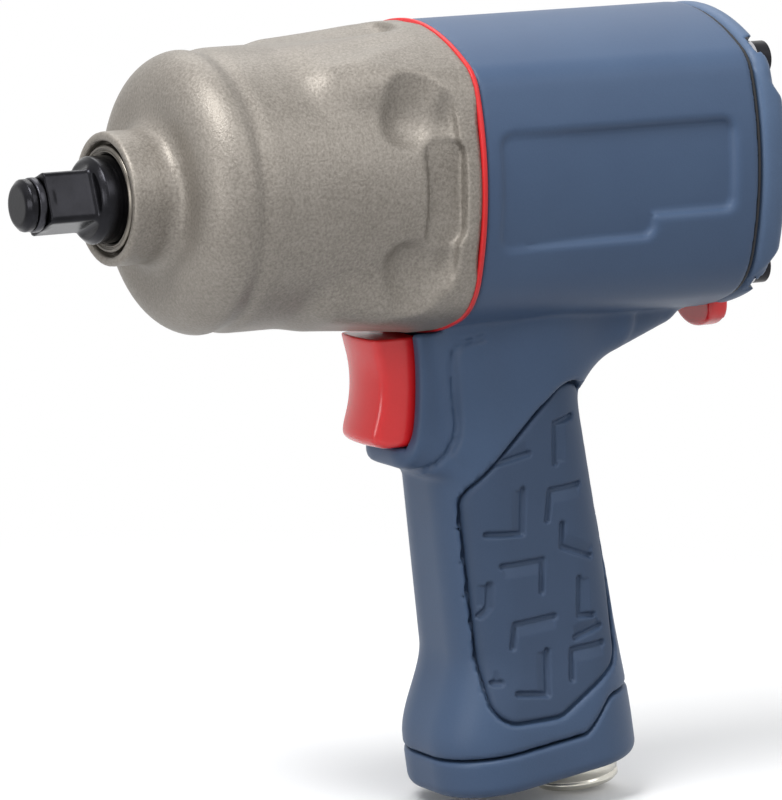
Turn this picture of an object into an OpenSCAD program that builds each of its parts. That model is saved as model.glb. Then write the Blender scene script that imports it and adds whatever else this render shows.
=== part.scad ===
/* [Square drive] */
// Width across the flats of the square drive
drive_af = 12.7; // [9.5:0.1:19]
// Length of the square drive, from its shoulder to its tip
drive_len = 17.8; // [15:0.1:24]
// Width across the rounded corners of the square
drive_corner_d = 16.8; // [16:0.1:17.6]
// Radius of the round pilot at the tip
pilot_r = 6.3; // [5.6:0.1:6.4]
// Turn of the square about the spindle when at rest, in degrees
drive_turn = 23; // [0:1:90]
// Radius of the shank that runs in the bushing
shank_r = 10.5; // [9.5:0.1:11]

/* [Hammer case] */
// Outer radius of the hammer case
case_r = 34.3; // [33:0.1:36]
// Thickness of the case wall
case_wall = 3.6; // [3:0.1:4]
// Distance from the drive shoulder back to the nose face
nose_gap = 5.4; // [4:0.1:7]
// Outer radius of the nose
nose_r = 16.1; // [15.6:0.1:18]
// Length of the nose, from its face to the front dome
nose_len = 12.6; // [12:0.1:16]
// Distance from the drive shoulder back to the case's rear face
case_back = 88.3; // [88:0.1:92]
// Thickness of the case's rear flange
flange_t = 5; // [4:0.1:8]
// Length of the screw bosses in front of the flange
boss_len = 14; // [8:0.5:18]
// Radius of the screw bosses
boss_r = 7.4; // [6.5:0.1:8]
// Outer radius of the bushing liner
liner_r = 12.95; // [12.5:0.05:13.2]

/* [Motor housing] */
// Width of the barrel
barrel_w = 73; // [72:0.5:78]
// Height of the barrel
barrel_h = 76; // [75:0.5:80]
// Corner radius of the barrel
barrel_corner = 25; // [24:0.5:27]
// Length of the barrel
barrel_len = 77; // [74:0.5:82]
// Thickness of the end cover
cover_t = 8; // [8:0.5:14]
// Sideways distance of each through bolt from the spindle
bolt_y = 24.2; // [24:0.1:25]
// Height of each through bolt above or below the spindle
bolt_z = 25.6; // [25:0.1:27]
// Diameter of the through bolts
bolt_d = 5; // [4:0.1:5.4]
// Thickness of the red gasket
gasket_t = 1.2; // [1:0.1:1.8]

/* [Air motor] */
// Radius of the rotor
rotor_r = 17.7; // [16.5:0.1:18]
// Length of the rotor
rotor_len = 46.8; // [44:0.1:47]
// Inner radius of the motor cylinder
cylinder_bore_r = 20.5; // [20.3:0.1:21]
// Outer radius of the motor cylinder
cylinder_r = 26.5; // [25:0.1:27]
// Number of rotor vanes
vane_count = 6; // [4:1:8]
// Thickness of a rotor vane
vane_t = 2.2; // [1.6:0.1:2.6]
// Inner radius of the front bearing
front_bearing_bore_r = 8.5; // [8:0.1:9]
// Outer radius of the front bearing
front_bearing_r = 17.5; // [17:0.1:18]
// Inner radius of the rear bearing
rear_bearing_bore_r = 4; // [3.5:0.1:4.5]
// Outer radius of the rear bearing
rear_bearing_r = 11; // [10:0.1:11.5]

/* [Hammer mechanism] */
// Outer radius of the hammer frame
frame_r = 29; // [28:0.1:29.2]
// Thickness of each end disc of the hammer frame
frame_disc_t = 5; // [4:0.1:6]
// Outer radius of each hammer ring
hammer_r = 25.2; // [24.5:0.1:25.4]
// Radius of the opening in each hammer ring
hammer_bore_r = 15; // [14.8:0.1:15.4]
// Length of each hammer along the spindle
hammer_len = 15; // [12:0.1:15.2]
// Radius of the hammer pins
hammer_pin_r = 4; // [3.6:0.1:4.2]
// Distance of each hammer pin from the spindle
hammer_pin_place = 23.5; // [23.2:0.1:24]
// Radius over the two anvil lobes
anvil_lobe_r = 13; // [12.6:0.1:13.2]

/* [Handle] */
// Rake of the handle, in degrees
rake = 8.5; // [6:0.5:11]
// Distance from the drive shoulder back to the handle's centre line at the spindle
handle_back = 101.4; // [99:0.1:104]
// Distance down the handle to its base seam
base_down = 141.5; // [132:0.5:150]
// Height of the base cap
base_cap_h = 10; // [8:0.1:12]
// Depth of the grip from front to back, at its slimmest
grip_depth = 43; // [41:0.5:46]
// Width of the grip at its slimmest
grip_w = 36; // [35:0.5:40]
// Width of the base
base_w = 43; // [42:0.5:46]
// Thickness of the soft grip panels
panel_t = 2; // [1.5:0.1:2.4]

/* [Throttle] */
// Height of the trigger's centre below the spindle
trigger_drop = 52; // [50:0.5:54]
// Travel of the trigger
trigger_travel = 6; // [4:0.5:7]
// Width of the trigger
trigger_w = 17.6; // [15:0.1:18]
// Height of the trigger
trigger_h = 27; // [26:0.1:28]
// Radius of the trigger stem
stem_r = 2.4; // [2:0.1:3]
// Radius of the throttle chamber
chamber_r = 7; // [6.5:0.1:7.2]

/* [Air inlet] */
// Tap drill radius of the inlet thread
inlet_thread_r = 5.56; // [5:0.01:6]
// Length of the inlet thread
inlet_thread_len = 12; // [10:0.5:14]
// Radius of the inlet fitting's collar
inlet_r = 10.6; // [10:0.1:11.4]
// Height of the inlet collar below the base cap
inlet_collar_h = 7.5; // [5:0.1:9]

/* [Reversing lever] */
// Depth of the reversing valve's axis below the spindle
lever_drop = 32; // [31.5:0.1:33]
// Radius of the reversing lever's paddle
lever_r = 11.6; // [11:0.1:12]
// Radius of the reversing valve
reverse_r = 4; // [3.6:0.1:4.2]

/* [Fits] */
// Clearance all round a running fit
run_fit = 0.06; // [0.02:0.01:0.1]
// Clearance all round a moving piece that runs in nothing
loose_fit = 0.3; // [0.3:0.05:0.5]
// Clearance all round a piece that is dropped into its seat
seat_fit = 0.05; // [0.02:0.01:0.1]

/* [Hidden] */
$fn = 64;
cut = 0.5;
far = 60;
hull_facets = 32;
bolt_turns = [[1, 1], [1, -1], [-1, 1], [-1, -1]];

// The nose, dome and cavity of the hammer case
dome_start = nose_gap + nose_len;
dome_len = 10.5;
cavity_r = case_r - case_wall - 0.7;
cavity_front = 28.6;
counterbore_r = 13.85;
counterbore_depth = 3;
case_bore_r = liner_r + 0.02;
liner_back = 27;

// The stack of the hammer mechanism, measured back from the shoulder
frame_front = 31;
frame_gap = 0.5;
hammer_1 = frame_front + frame_disc_t + frame_gap;
hammer_2 = hammer_1 + hammer_len + frame_gap;
frame_rear = hammer_2 + hammer_len + frame_gap;
hub_len = 6;
hub_r = 13;
hub_back = frame_rear + frame_disc_t + hub_len;
collar_r = 12.2;
core_r = 9.4;
anvil_pilot_r = 6;
drive_hex_r = 7.4;

// The stack of the motor
housing_front = case_back + gasket_t;
housing_back = housing_front + barrel_len;
plate_flange_r = 31.2;
plate_flange_t = 3;
plate_back = housing_front + 10.2;
motor_front = plate_back + 0.1;
motor_back = motor_front + rotor_len + 0.4;
rear_plate_back = motor_back + 8;
bearing_w = 7;
front_bearing_w = 9;
front_bearing_x = plate_back - front_bearing_w - 0.4;
rear_bearing_x = motor_back + 0.6;
bore_offset = cylinder_bore_r - rotor_r - loose_fit;
bore_r = cylinder_r + seat_fit;
cover_gasket_t = 0.9;
cover_front = housing_back + cover_gasket_t;
cover_back = cover_front + cover_t;
bolt_head_r = 4.4;
bolt_head_h = 4;
bolt_hole_r = bolt_d / 2 + 0.25;
washer_t = 1;
bolt_seat = cover_back - bolt_head_h - washer_t - 0.5;
bolt_grip = 10;
cover_round = 3.5;

// Handle, trigger and valve places
chamber_back = 126;
bushing_len = 11;
seat_x = 108.5;
spring_wire = 0.9;
spring_turns = 5;
spring_steps = 14;
spring_sides = 8;
trigger_front = 72;
trigger_back = 86;
pocket_back = trigger_back + trigger_travel + 1;
trigger_top = trigger_drop - trigger_h / 2;
trigger_bottom = trigger_drop + trigger_h / 2;
inlet_back = 11;
exhaust_y = 11.8;
exhaust_r = 3.6;
passage_r = 6;
base_front = 31.5;
base_rear = 24;
lip_back = 86;
web_back = -154;

// Reversing lever, in a slot open at the back of the end cover
lever_t = 5.6;
lever_front = cover_back - lever_t;

// Turns an object drawn along Z so that it runs back along the spindle
module back(x = 0) { translate([-x, 0, 0]) rotate([0, -90, 0]) children(); }

// A plain cylinder from one distance behind the shoulder to another
module bar(x0, x1, r) { back(x0) cylinder(h = x1 - x0, r = r); }

module ring(x0, x1, r, hole) {
    difference() {
        bar(x0, x1, r);
        bar(x0 - cut, x1 + cut, hole);
    }
}

module rounded(w, d, r) {
    square([w - 2 * r, d], center = true);
    square([w, d - 2 * r], center = true);
    for (x = [-1, 1], y = [-1, 1])
        translate([x * (w / 2 - r), y * (d / 2 - r)]) circle(r = r);
}

// A slab of the barrel's outline
module slab(x0, x1, grow = 0) {
    back(x0) linear_extrude(x1 - x0)
        rounded(barrel_h + 2 * grow, barrel_w + 2 * grow, barrel_corner + grow);
}

module at_bolts(x) {
    for (t = bolt_turns) translate([-x, t[0] * bolt_y, t[1] * bolt_z]) rotate([0, -90, 0]) children();
}

// The handle's own frame: Z runs up the handle, X towards the front
module at_handle() { translate([-handle_back, 0, 0]) rotate([0, rake, 0]) children(); }

// One slice across the handle
module slice(down, front, rear, w, r, shrink = 0) {
    translate([(front - rear) / 2, 0, -down]) linear_extrude(0.1)
        rounded(front + rear - 2 * shrink, w - 2 * shrink, r - shrink, $fn = hull_facets);
}

module grip_hull(shrink = 0) {
    hull() {
        slice(31, 24, 27, grip_w + 2, 16, shrink);
        slice(62, grip_depth / 2, grip_depth / 2, grip_w, 14, shrink);
        slice(126, grip_depth / 2 + 2, grip_depth / 2 + 1.5, grip_w + 3.4, 15, shrink);
    }
}

module base_slice(down, shrink = 0) { slice(down, base_front, base_rear, base_w, 17, shrink); }

module panel_outline(grow = 0) {
    rotate([90, 0, 0]) linear_extrude(2 * far, center = true) hull() {
        translate([-10.5, -58]) circle(r = 4 + grow, $fn = hull_facets);
        translate([10.5, -83]) circle(r = 7 + grow, $fn = hull_facets);
        translate([12.5, -118]) circle(r = 7 + grow, $fn = hull_facets);
        translate([-10.5, -120]) circle(r = 8 + grow, $fn = hull_facets);
    }
}

// A coil spring of round wire, swept ring by ring along its helix
module spring(x0, x1, r) {
    rings = spring_turns * spring_steps;
    rise = (x1 - x0 - spring_wire) / rings;
    points = [for (i = [0 : rings], k = [0 : spring_sides - 1])
        let (a = i * 360 / spring_steps, b = k * 360 / spring_sides, reach = r + spring_wire / 2 * cos(b))
        [reach * cos(a), reach * sin(a), spring_wire / 2 + i * rise + spring_wire / 2 * sin(b)]];
    walls = [for (i = [0 : rings - 1], k = [0 : spring_sides - 1]) let (n = (k + 1) % spring_sides, o = i * spring_sides)
        [o + k, o + n, o + spring_sides + n, o + spring_sides + k]];
    start = [[for (k = [spring_sides - 1 : -1 : 0]) k]];
    finish = [[for (k = [0 : spring_sides - 1]) rings * spring_sides + k]];
    back(x0) polyhedron(points = points, faces = concat(walls, start, finish), convexity = 8);
}

// --- Anvil and its socket retainer ---

ring_x = -drive_len + 2.9;
ring_w = 2.1;

module anvil() color("dimgray") difference() {
    union() {
        intersection() {
            rotate([drive_turn, 0, 0]) translate([-1, -drive_af / 2, -drive_af / 2])
                cube([drive_len - 4.9 + 1, drive_af, drive_af]);
            bar(-far, 2, drive_corner_d / 2);
        }
        back(-drive_len) cylinder(h = 1.2, r1 = pilot_r - 1.2, r2 = pilot_r);
        bar(-drive_len + 1.2, -drive_len + 6, pilot_r);
        back(0) cylinder(h = 1.4, r1 = shank_r - 1.4, r2 = shank_r);
        bar(1.4, liner_back + 0.4, shank_r);
        bar(liner_back + 0.4, hammer_1 - 0.3, collar_r);
        bar(hammer_1 - 0.3, frame_rear - 0.3, core_r);
        intersection() {
            bar(hammer_1 - 0.3, frame_rear - 0.3, anvil_lobe_r);
            translate([-far * 2, -4.5, -far]) cube([2 * far, 9, 2 * far]);
        }
        bar(frame_rear - 0.3, frame_rear + frame_disc_t - 0.5, anvil_pilot_r);
    }
    ring(ring_x, ring_x + ring_w + 0.3, pilot_r + 2, 4.3);
}

module socket_retainer_ring() color("silver") difference() {
    ring(ring_x + 0.15, ring_x + 0.15 + ring_w, pilot_r + 0.25, 5.15);
    translate([drive_len - 8, -0.8, 0]) cube([10, 1.6, 20]);
}

module retainer_o_ring() color("black")
    back(ring_x + 0.15 + ring_w / 2) rotate_extrude() translate([4.72, 0]) circle(r = 0.4, $fn = 24);

// --- Hammer case ---

module case_body() {
    back(nose_gap) rotate_extrude() difference() {
        union() {
            square([nose_r - 0.6, dome_start - nose_gap + 2]);
            translate([0, 0.6]) square([nose_r, dome_start - nose_gap + 2]);
            translate([nose_r - 0.6, 0.6]) circle(r = 0.6);
            translate([0, nose_len + dome_len]) square([case_r, case_back - dome_start - dome_len]);
            translate([0, nose_len]) square([case_r - dome_len, dome_len + 1]);
            intersection() {
                translate([case_r - dome_len, nose_len + dome_len]) circle(r = dome_len);
                square([far, nose_len + dome_len + 1]);
            }
            translate([nose_r - 1, nose_len - 3]) square([4, 4]);
        }
        translate([nose_r + 3, nose_len - 3]) circle(r = 3);
    }
}

module hammer_case() color([0.52, 0.50, 0.47]) difference() {
    union() {
        case_body();
        slab(case_back - flange_t, case_back);
        at_bolts(case_back - flange_t - boss_len) cylinder(h = boss_len + cut, r = boss_r);
    }
    bar(cavity_front, case_back + cut, cavity_r);
    bar(nose_gap - cut, cavity_front + cut, case_bore_r);
    bar(nose_gap - cut, nose_gap + counterbore_depth, counterbore_r);
    at_bolts(case_back - bolt_grip - 2) cylinder(h = bolt_grip + 2 + cut, r = bolt_d / 2 + 0.02);
}

module anvil_bushing() color("goldenrod") ring(nose_gap + 0.2, liner_back, liner_r, shank_r + run_fit);

// --- Hammer mechanism ---

strut_r = 27.2;

module hammer_frame() color("slategray") difference() {
    union() {
        bar(frame_front, frame_front + frame_disc_t, frame_r);
        bar(frame_rear, frame_rear + frame_disc_t, frame_r);
        bar(frame_rear + frame_disc_t - cut, hub_back, hub_r);
        difference() {
            ring(frame_front + cut, frame_rear + cut, frame_r, strut_r);
            translate([-far * 2, -far, -17]) cube([2 * far, 2 * far, 34]);
        }
    }
    bar(frame_front - cut, frame_front + frame_disc_t + cut, collar_r + run_fit);
    bar(frame_rear - cut, frame_rear + frame_disc_t, anvil_pilot_r + run_fit);
    back(frame_rear + frame_disc_t - 0.01) cylinder(h = hub_len + cut, r = drive_hex_r + seat_fit, $fn = 6);
    for (s = [-1, 1]) translate([0, s * hammer_pin_place, 0])
        bar(frame_front - cut, frame_rear + frame_disc_t + cut, hammer_pin_r + 0.02);
}

module hammer(x, side) {
    difference() {
        bar(x, x + hammer_len, hammer_r);
        difference() {
            bar(x - cut, x + hammer_len + cut, hammer_bore_r);
            for (s = [-1, 1]) translate([-x - hammer_len - cut, s * (hammer_bore_r + 8) - 12, -3])
                cube([hammer_len + 2 * cut, 24, 6]);
        }
        bar(x - cut, x + hammer_len + cut, 11.6);
        translate([0, side * hammer_pin_place, 0]) bar(x - cut, x + hammer_len + cut, hammer_pin_r + run_fit);
        translate([0, side * (hammer_pin_place + 5), 0]) bar(x - cut, x + hammer_len + cut, 2.6);
        translate([-x - hammer_len - cut, -side * hammer_pin_place - (side > 0 ? far : 0) + side * 4.6, -7])
            cube([hammer_len + 2 * cut, far, 14]);
    }
}

module hammer_front() color("gray") hammer(hammer_1, 1);

module hammer_rear() color("gray") hammer(hammer_2, -1);

module hammer_pins() color("silver") for (s = [-1, 1]) translate([0, s * hammer_pin_place, 0])
    bar(frame_front + 0.4, frame_rear + frame_disc_t - 0.4, hammer_pin_r);

// --- Seal and clamp between case and housing ---

module case_gasket() color("red") difference() {
    slab(case_back, housing_front, 0.4);
    bar(case_back - cut, housing_front + cut, plate_flange_r + 0.2);
    at_bolts(case_back - cut) cylinder(h = gasket_t + 2 * cut, r = bolt_hole_r);
}

module clamp_washer() color("silver") ring(case_back, housing_front, plate_flange_r - 0.2, 24);

// --- Air motor ---

module bearing_outer(x, w, hole, r) difference() {
    ring(x, x + w, r, r - (r - hole) * 0.32);
    groove(x + w / 2, (r + hole) / 2, (r - hole) * 0.26);
}

module bearing_inner(x, w, hole, r) difference() {
    ring(x, x + w, hole + (r - hole) * 0.32, hole);
    groove(x + w / 2, (r + hole) / 2, (r - hole) * 0.26);
}

module groove(x, r, ball) back(x) rotate_extrude() translate([r, 0]) circle(r = ball + run_fit);

module bearing_balls(x, w, hole, r, count) for (i = [0 : count - 1])
    rotate([i * 360 / count, 0, 0]) translate([-x - w / 2, 0, (r + hole) / 2]) sphere(r = (r - hole) * 0.26);

module front_end_plate() color("gray") difference() {
    union() {
        bar(housing_front, housing_front + plate_flange_t, plate_flange_r - 0.1);
        bar(housing_front, plate_back, cylinder_r);
    }
    bar(housing_front - cut, front_bearing_x + front_bearing_w, front_bearing_r + 0.01);
    bar(housing_front - cut, plate_back + cut, front_bearing_bore_r + 2.5);
}

module front_bearing_outer() color("silver")
    bearing_outer(front_bearing_x, front_bearing_w, front_bearing_bore_r, front_bearing_r);

module front_bearing_inner() color("silver")
    bearing_inner(front_bearing_x, front_bearing_w, front_bearing_bore_r, front_bearing_r);

module front_bearing_balls() color("white")
    bearing_balls(front_bearing_x, front_bearing_w, front_bearing_bore_r, front_bearing_r, 9);

module rotor() color("lightgray") difference() {
    union() {
        bar(motor_front + 0.2, motor_back - 0.2, rotor_r);
        bar(hub_back + 1, motor_front + 0.5, front_bearing_bore_r - 0.01);
        back(frame_rear + frame_disc_t + 0.3) cylinder(h = hub_back + 1.2 - frame_rear - frame_disc_t - 0.3,
            r = drive_hex_r, $fn = 6);
        bar(motor_back - 0.5, rear_bearing_x + bearing_w + 1, rear_bearing_bore_r - 0.01);
    }
    for (i = [0 : vane_count - 1]) rotate([i * 360 / vane_count, 0, 0])
        translate([-motor_back, -vane_t / 2 - seat_fit, 9.5])
        cube([motor_back - motor_front, vane_t + 2 * seat_fit, 20]);
}

module rotor_vanes() color("saddlebrown") for (i = [0 : vane_count - 1])
    rotate([i * 360 / vane_count, 0, 0]) translate([-motor_back + 0.3, -vane_t / 2, 9.6])
    cube([motor_back - motor_front - 0.6, vane_t, rotor_r - 9.6 - 0.1]);

module motor_cylinder() color("silver") difference() {
    bar(motor_front, motor_back, cylinder_r);
    translate([0, 0, bore_offset]) bar(motor_front - cut, motor_back + cut, cylinder_bore_r);
    for (x = [0.3, 0.5, 0.7]) translate([-motor_front - x * rotor_len, 0, -cylinder_r])
        cylinder(h = 16, r = 2.4, center = true);
    translate([0, -22.4, -6]) bar(motor_front - cut, motor_front + 5, 1.52);
}

module cylinder_dowel() color("silver") translate([0, -22.4, -6]) bar(motor_front + 0.1, motor_front + 4.9, 1.5);

module rear_end_plate() color("gray") difference() {
    bar(motor_back, rear_plate_back, cylinder_r);
    bar(rear_bearing_x, rear_plate_back + cut, rear_bearing_r + 0.01);
    bar(motor_back - cut, rear_plate_back + cut, rear_bearing_bore_r + 1);
}

module rear_bearing_outer() color("silver")
    bearing_outer(rear_bearing_x, bearing_w, rear_bearing_bore_r, rear_bearing_r);

module rear_bearing_inner() color("silver")
    bearing_inner(rear_bearing_x, bearing_w, rear_bearing_bore_r, rear_bearing_r);

module rear_bearing_balls() color("white")
    bearing_balls(rear_bearing_x, bearing_w, rear_bearing_bore_r, rear_bearing_r, 7);

// --- Motor housing: barrel and handle in one moulding ---

module housing_body() {
    slab(housing_front, housing_back);
    at_handle() {
        grip_hull();
        hull() {
            slice(118, grip_depth / 2 + 1, grip_depth / 2 + 1, grip_w + 2, 14.5);
            base_slice(base_down - 4);
            base_slice(base_down);
        }
    }
    hull() {
        translate([-lip_back, 0, -trigger_bottom - 1]) rotate([90, 0, 0])
            cylinder(h = 18, r = 4.4, center = true, $fn = hull_facets);
        translate([-lip_back - 7, 0, -36]) rotate([90, 0, 0])
            cylinder(h = 32, r = 5, center = true, $fn = hull_facets);
        translate([-lip_back - 15, 0, -72]) rotate([90, 0, 0])
            cylinder(h = 30, r = 8, center = true, $fn = hull_facets);
    }
    // Web that blends the rear of the handle into the underside of the barrel
    hull() for (p = [[-120, 44, 15], [-138, 38, 13], [web_back, 33.4, 9]])
        translate([p[0], 0, -p[1]]) rotate([90, 0, 0]) cylinder(h = 2 * p[2], r = 8.4, center = true, $fn = hull_facets);
}

// The shallow pockets of both grip panels
module panel_pockets(proud = 0) difference() {
    intersection() {
        difference() {
            grip_hull(-proud);
            grip_hull(panel_t);
        }
        panel_outline();
    }
    translate([-far, -3, -160]) cube([2 * far, 6, 160]);
}

module grip_panel(side) intersection() {
    panel_pockets();
    translate([-far, side > 0 ? 0 : -far, -160]) cube([2 * far, far, 160]);
}

module motor_housing() color([0.27, 0.34, 0.43]) difference() {
    housing_body();
    // Room for the hammer case and its gasket above the trigger guard
    slab(trigger_front - 20, housing_front, 0.4 + loose_fit);
    bar(housing_front - cut, housing_back + cut, bore_r);
    bar(housing_front - cut, housing_front + plate_flange_t, plate_flange_r);
    at_bolts(housing_front - cut) cylinder(h = barrel_len + 2 * cut, r = bolt_hole_r);
    // Pocket that the trigger slides in
    translate([-pocket_back, -trigger_w / 2 - loose_fit, -trigger_bottom - loose_fit])
        cube([pocket_back - 60, trigger_w + 2 * loose_fit, trigger_h + 2 * loose_fit]);
    // Throttle chamber and the bushing's seat
    translate([0, 0, -trigger_drop]) bar(pocket_back - cut, chamber_back, chamber_r + seat_fit);
    // Air passage up the rear of the handle, and two exhaust passages down it
    at_handle() {
        translate([-inlet_back, 0, -base_down - cut]) cylinder(h = base_down - trigger_drop - 3 + cut, r = passage_r);
        translate([-inlet_back, 0, -base_down - cut]) cylinder(h = 14, r = 8.2);
        for (s = [-1, 1]) translate([4, s * exhaust_y, -base_down - cut])
            cylinder(h = base_down - 24 + cut, r = exhaust_r);
        for (s = [-1, 1]) translate([19, s * 10, -base_down - cut]) cylinder(h = 12, r = 1.6);
    }
    // Reversing valve and detent
    translate([0, 0, -lever_drop]) bar(housing_back - 18, housing_back + cut, reverse_r + run_fit);
    translate([0, 8.5, -lever_drop]) bar(housing_back - 6, housing_back + cut, 1.7);
    at_handle() panel_pockets(cut);
}

module grip_panel_left() color([0.24, 0.30, 0.38]) at_handle() grip_panel(1);

module grip_panel_right() color([0.24, 0.30, 0.38]) at_handle() grip_panel(-1);

// --- End cover ---

module end_cover_gasket() color("dimgray") difference() {
    slab(housing_back, cover_front, -0.6);
    bar(housing_back - cut, cover_front + cut, bore_r + 0.4);
    at_bolts(housing_back - cut) cylinder(h = cover_gasket_t + 2 * cut, r = bolt_hole_r);
    translate([0, 0, -lever_drop]) bar(housing_back - cut, cover_front + cut, reverse_r + 0.4);
    translate([0, 8.5, -lever_drop]) bar(housing_back - cut, cover_front + cut, 2);
}

module end_cover() color([0.36, 0.43, 0.52]) difference() {
    union() {
        slab(cover_front, cover_back - cover_round, -0.3);
        hull() {
            slab(cover_back - cover_round - 0.1, cover_back - cover_round, -0.3, $fn = hull_facets);
            slab(cover_back - 0.1, cover_back, -0.3 - cover_round, $fn = hull_facets);
        }
        bar(rear_plate_back, cover_front + cut, bore_r - 0.1);
    }
    bar(rear_plate_back - cut, cover_front + 2, rear_bearing_r - 1);
    at_bolts(cover_front - 1) cylinder(h = cover_t + 2, r = bolt_hole_r);
    at_bolts(bolt_seat) cylinder(h = cover_t, r = bolt_head_r + 0.6);
    // Slot that the reversing lever swings in
    difference() {
        translate([0, 0, -lever_drop]) bar(lever_front - loose_fit, cover_back + cut, lever_r + 0.5);
        translate([-cover_back, -far, -lever_drop + reverse_r + 2.3]) cube([2 * cover_t, 2 * far, far]);
    }
    translate([-cover_back - cut, -12.5, -lever_drop - far]) cube([lever_t + loose_fit + cut, 25, far]);
    translate([0, 0, -lever_drop]) bar(cover_front - cut, lever_front, reverse_r + run_fit);
    translate([0, 8.5, -lever_drop]) bar(cover_front - cut, lever_front, 1.7);
}

module through_bolts() color("dimgray") at_bolts(case_back - bolt_grip) difference() {
    union() {
        cylinder(h = bolt_seat + washer_t - case_back + bolt_grip, r = bolt_d / 2);
        translate([0, 0, bolt_seat + washer_t - case_back + bolt_grip]) cylinder(h = bolt_head_h, r = bolt_head_r);
    }
    translate([0, 0, bolt_seat + washer_t - case_back + bolt_grip + 2]) cylinder(h = bolt_head_h, r = 2.3, $fn = 6);
}

module bolt_washers() color("silver") at_bolts(bolt_seat) difference() {
    cylinder(h = washer_t, r = bolt_head_r + 0.2);
    translate([0, 0, -cut]) cylinder(h = washer_t + 2 * cut, r = bolt_d / 2 + 0.1);
}

// --- Trigger and throttle ---

module trigger() color([0.80, 0.10, 0.09]) difference() {
    translate([-trigger_back, 0, -trigger_drop]) rotate([90, 0, 0])
        linear_extrude(trigger_w, center = true) difference() {
        union() {
            translate([(trigger_back - trigger_front) / 2, 1.5]) square([trigger_back - trigger_front, trigger_h - 3], center = true);
            translate([0, -trigger_h / 2]) square([trigger_back - trigger_front - 3, trigger_h]);
            translate([trigger_back - trigger_front - 3, 3 - trigger_h / 2]) circle(r = 3);
        }
        translate([trigger_back - trigger_front + 26, 1]) circle(r = 28.4, $fn = 128);
    }
    translate([0, 0, -trigger_drop]) bar(trigger_back - 6, trigger_back + cut, stem_r + 0.01);
}

module trigger_stem() color("silver") translate([0, 0, -trigger_drop]) bar(trigger_back - 5.8, seat_x + 2.6, stem_r);

module trigger_bushing() color("goldenrod") translate([0, 0, -trigger_drop]) difference() {
    bar(pocket_back + 0.2, pocket_back + bushing_len, chamber_r);
    bar(pocket_back - cut, pocket_back + bushing_len + cut, stem_r + run_fit);
    bar(pocket_back + bushing_len - 4, pocket_back + bushing_len + cut, stem_r + 1.9);
}

module stem_o_ring() color("black") translate([0, 0, -trigger_drop])
    back(pocket_back + bushing_len - 2) rotate_extrude() translate([stem_r + 1, 0]) circle(r = 0.9, $fn = 24);

module valve_seat() color("goldenrod") translate([0, 0, -trigger_drop]) ring(seat_x, seat_x + 3, chamber_r, stem_r + 1.2);

module throttle_valve() color("dimgray") translate([0, 0, -trigger_drop]) {
    bar(seat_x + 3, seat_x + 5.4, stem_r + 2.8);
    bar(seat_x + 5.2, seat_x + 7, stem_r);
}

module throttle_spring() color("silver") translate([0, 0, -trigger_drop])
    spring(seat_x + 5.4, chamber_back, stem_r + 1.4);

// --- Reversing valve and lever ---

module reverse_valve() color("silver") translate([0, 0, -lever_drop]) difference() {
    bar(housing_back - 17.5, lever_front + 2, reverse_r);
    translate([-housing_back + 8, 0, 0]) cylinder(h = 3 * reverse_r, r = 2, center = true);
    bar(lever_front - 5, lever_front + 3, 1.27);
}

module reverse_lever() color([0.80, 0.10, 0.09]) translate([0, 0, -lever_drop]) difference() {
    union() {
        bar(lever_front, lever_front + lever_t, reverse_r + 1.8);
        intersection() {
            bar(lever_front, lever_front + lever_t, lever_r);
            translate([-far * 4, -8.4, -far]) cube([far * 4, 16.8, far]);
        }
    }
    bar(lever_front - cut, lever_front + 2, reverse_r + 0.02);
    bar(lever_front - cut, lever_front + lever_t + cut, 1.4);
    bar(lever_front + lever_t - 2.4, lever_front + lever_t + cut, 3);
    translate([0, 8.5, 0]) bar(lever_front - cut, lever_front + 0.8, 1.7);
}

module lever_screw() color("silver") translate([0, 0, -lever_drop]) {
    bar(lever_front - 4.8, lever_front + lever_t - 2.3, 1.25);
    bar(lever_front + lever_t - 2.4, cover_back - 0.3, 2.8);
}

module detent_ball() color("silver") translate([-lever_front + 1.75, 8.5, -lever_drop]) sphere(r = 1.55);

module detent_spring() color("silver") translate([0, 8.5, -lever_drop])
    spring(housing_back - 5.9, lever_front - 3.3, 1);

// --- Base cap, muffler and air inlet ---

module exhaust_muffler() color("dimgray") at_handle() difference() {
    translate([(base_front - base_rear) / 2 + 11, 0, -base_down - 4.6]) linear_extrude(4.4) rounded(22, 31, 6);
    for (s = [-1, 1]) translate([19, s * 10, -base_down - 8]) cylinder(h = 12, r = 2.4);
}

module base_cap() color([0.27, 0.34, 0.43]) at_handle() difference() {
    union() {
        translate([(base_front - base_rear) / 2, 0, -base_down - base_cap_h + 2.5]) linear_extrude(base_cap_h - 2.5)
            rounded(base_front + base_rear, base_w, 17);
        hull() {
            slice(base_down + base_cap_h - 2.5, base_front, base_rear, base_w, 17);
            slice(base_down + base_cap_h, base_front, base_rear, base_w, 17, 2.5);
        }
    }
    translate([(base_front - base_rear) / 2 + 11, 0, -base_down - 4.7]) linear_extrude(6) rounded(22.4, 31.4, 6);
    translate([-inlet_back, 0, -base_down - base_cap_h - cut]) cylinder(h = base_cap_h + 2 * cut, r = 8.3);
    for (s = [-1, 1]) translate([19, s * 10, -base_down - base_cap_h - cut]) {
        cylinder(h = base_cap_h + 2 * cut, r = 1.9);
        cylinder(h = 3.3, r = 3.3);
    }
    for (y = [-6 : 4 : 6]) translate([9, y - 1, -base_down - base_cap_h - cut]) cube([5, 2, base_cap_h]);
}

module base_cap_screws() color("dimgray") at_handle() for (s = [-1, 1])
    translate([19, s * 10, -base_down - base_cap_h + 0.7]) difference() {
        union() {
            cylinder(h = 2.1, r = 3);
            cylinder(h = base_cap_h + 9, r = 1.55);
        }
        translate([0, 0, -cut]) cylinder(h = 1.7, r = 1.3, $fn = 6);
    }

inlet_top = base_down - 11;

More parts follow.
